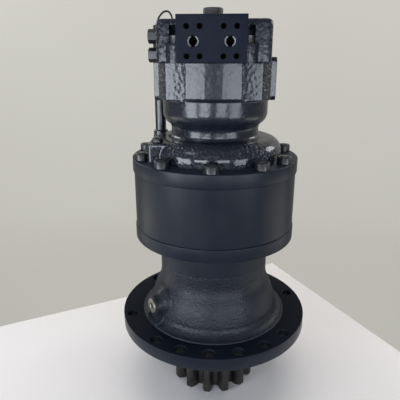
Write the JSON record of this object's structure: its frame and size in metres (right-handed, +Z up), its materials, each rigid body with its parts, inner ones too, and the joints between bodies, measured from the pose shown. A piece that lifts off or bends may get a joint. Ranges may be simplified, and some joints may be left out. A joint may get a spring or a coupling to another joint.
{
  "type": "swing motor",
  "caption": "Hydraulic swing motor with planetary reduction, round mounting flange and output pinion.",
  "frame": {"origin": "centre of the mounting face, where the drive's axis crosses the underside of the mounting flange", "axes": "+Z up the drive's axis from the pinion to the motor, -Y out of the port face, +X to the right of it"},
  "size_m": [0.3929, 0.393, 0.7794],
  "materials": {
    "casting_gloss": "glossy",
    "casting_satin": "satin",
    "painted_fittings": "satin",
    "oiled_steel": "oiled",
    "zinc_plug": "satin",
    "bearing_steel": "ground",
    "bronze": "machined",
    "rubber_seal": "matte"
  },
  "bodies": {
    "casing": {"lower_housing": "casting_satin", "level_plug": "zinc_plug", "seal_cover": "casting_satin", "cover_bolts": "oiled_steel", "output_seal": "rubber_seal", "lower_bearing_outer": "bearing_steel", "upper_bearing_outer": "bearing_steel", "ring_gear": "casting_satin", "ring_bolts": "painted_fittings", "motor_casing": "casting_gloss", "casing_plugs": "painted_fittings", "dipstick_tube": "painted_fittings", "swash_plate": "bearing_steel", "shaft_seal": "rubber_seal", "front_bearing_outer": "bearing_steel", "rear_bearing_outer": "bearing_steel", "separator_plates": "bearing_steel", "valve_plate": "bronze", "valve_casing": "casting_gloss", "valve_bolts": "painted_fittings", "relief_valves": "painted_fittings", "check_valve_plugs": "painted_fittings", "top_plug": "oiled_steel", "o_rings": "rubber_seal", "brake_springs": "bearing_steel"},
    "output": {"pinion_shaft": "oiled_steel", "seal_sleeve": "bearing_steel", "lower_bearing_inner": "bearing_steel", "upper_bearing_inner": "bearing_steel", "shaft_nut": "oiled_steel", "carrier_2": "bearing_steel", "carrier_2_pins": "bearing_steel"},
    "lower_rollers": {"lower_bearing_rollers": "bearing_steel", "lower_bearing_cage": "bronze"},
    "upper_rollers": {"upper_bearing_rollers": "bearing_steel", "upper_bearing_cage": "bronze"},
    "planet_2_first": {"planet_2a": "bearing_steel"},
    "planet_2_second": {"planet_2b": "bearing_steel"},
    "planet_2_third": {"planet_2c": "bearing_steel"},
    "stage_1": {"sun_2": "bearing_steel", "carrier_1": "bearing_steel", "carrier_1_pins": "bearing_steel"},
    "planet_1_first": {"planet_1a": "bearing_steel"},
    "planet_1_second": {"planet_1b": "bearing_steel"},
    "planet_1_third": {"planet_1c": "bearing_steel"},
    "motor": {"motor_shaft": "bearing_steel", "sun_1": "bearing_steel", "front_bearing_inner": "bearing_steel", "cylinder_block": "bronze", "pistons": "bearing_steel", "ball_guide": "bearing_steel", "block_spring": "bearing_steel", "friction_plates": "bronze"},
    "front_rollers": {"front_bearing_rollers": "bearing_steel"},
    "rear_rollers": {"rear_bearing_rollers": "bearing_steel"},
    "shoe_set": {"retainer_plate": "bearing_steel", "shoes": "bronze"},
    "brake": {"brake_piston": "bearing_steel"},
    "stick": {"dipstick": "oiled_steel"}
  },
  "joints": [
    {"name": "output_spin", "type": "hinge", "parent": "casing", "child": "output", "pos_m": [0, 0, 0], "axis": [0, 0, 1], "continuous": true},
    {"name": "lower_cage_spin", "type": "hinge", "parent": "casing", "child": "lower_rollers", "pos_m": [0, 0, 0], "axis": [0, 0, 1], "continuous": true},
    {"name": "upper_cage_spin", "type": "hinge", "parent": "casing", "child": "upper_rollers", "pos_m": [0, 0, 0], "axis": [0, 0, 1], "continuous": true},
    {"name": "planet_2_first_spin", "type": "hinge", "parent": "output", "child": "planet_2_first", "pos_m": [0.084, 0, 0.256], "axis": [0, 0, 1], "continuous": true},
    {"name": "planet_2_second_spin", "type": "hinge", "parent": "output", "child": "planet_2_second", "pos_m": [-0.042, 0.07275, 0.256], "axis": [0, 0, 1], "continuous": true},
    {"name": "planet_2_third_spin", "type": "hinge", "parent": "output", "child": "planet_2_third", "pos_m": [-0.042, -0.07275, 0.256], "axis": [0, 0, 1], "continuous": true},
    {"name": "stage_1_spin", "type": "hinge", "parent": "casing", "child": "stage_1", "pos_m": [0, 0, 0], "axis": [0, 0, 1], "continuous": true},
    {"name": "planet_1_first_spin", "type": "hinge", "parent": "stage_1", "child": "planet_1_first", "pos_m": [0.078, 0, 0.319], "axis": [0, 0, 1], "continuous": true},
    {"name": "planet_1_second_spin", "type": "hinge", "parent": "stage_1", "child": "planet_1_second", "pos_m": [-0.039, 0.06755, 0.319], "axis": [0, 0, 1], "continuous": true},
    {"name": "planet_1_third_spin", "type": "hinge", "parent": "stage_1", "child": "planet_1_third", "pos_m": [-0.039, -0.06755, 0.319], "axis": [0, 0, 1], "continuous": true},
    {"name": "motor_spin", "type": "hinge", "parent": "casing", "child": "motor", "pos_m": [0, 0, 0], "axis": [0, 0, 1], "continuous": true},
    {"name": "front_rollers_spin", "type": "hinge", "parent": "casing", "child": "front_rollers", "pos_m": [0, 0, 0], "axis": [0, 0, 1], "continuous": true},
    {"name": "rear_rollers_spin", "type": "hinge", "parent": "casing", "child": "rear_rollers", "pos_m": [0, 0, 0], "axis": [0, 0, 1], "continuous": true},
    {"name": "shoe_set_spin", "type": "hinge", "parent": "casing", "child": "shoe_set", "pos_m": [0, 0, 0.4341], "axis": [0, -0.2588, 0.9659], "continuous": true},
    {"name": "brake_release", "type": "slide", "parent": "casing", "child": "brake", "axis": [0, 0, 1], "range_m": [0, 0.0025], "stiffness_N_per_m": 40000, "springref_m": -0.01, "deforming": ["brake_springs"]},
    {"name": "dipstick_pull", "type": "slide", "parent": "casing", "child": "stick", "axis": [0, 0, 1], "range_m": [0, 0.27]}
  ],
  "couplings": [
    {"joint": "lower_cage_spin", "follows": "output_spin", "ratio": 0.43571},
    {"joint": "upper_cage_spin", "follows": "output_spin", "ratio": 0.432},
    {"joint": "planet_2_first_spin", "follows": "output_spin", "ratio": -3},
    {"joint": "planet_2_second_spin", "follows": "output_spin", "ratio": -3},
    {"joint": "planet_2_third_spin", "follows": "output_spin", "ratio": -3},
    {"joint": "stage_1_spin", "follows": "output_spin", "ratio": 4},
    {"joint": "planet_1_first_spin", "follows": "output_spin", "ratio": -10.5},
    {"joint": "planet_1_second_spin", "follows": "output_spin", "ratio": -10.5},
    {"joint": "planet_1_third_spin", "follows": "output_spin", "ratio": -10.5},
    {"joint": "motor_spin", "follows": "output_spin", "ratio": 20.8},
    {"joint": "front_rollers_spin", "follows": "output_spin", "ratio": 8.8058},
    {"joint": "rear_rollers_spin", "follows": "output_spin", "ratio": 8.0889},
    {"joint": "shoe_set_spin", "follows": "output_spin", "ratio": 20.8}
  ]
}
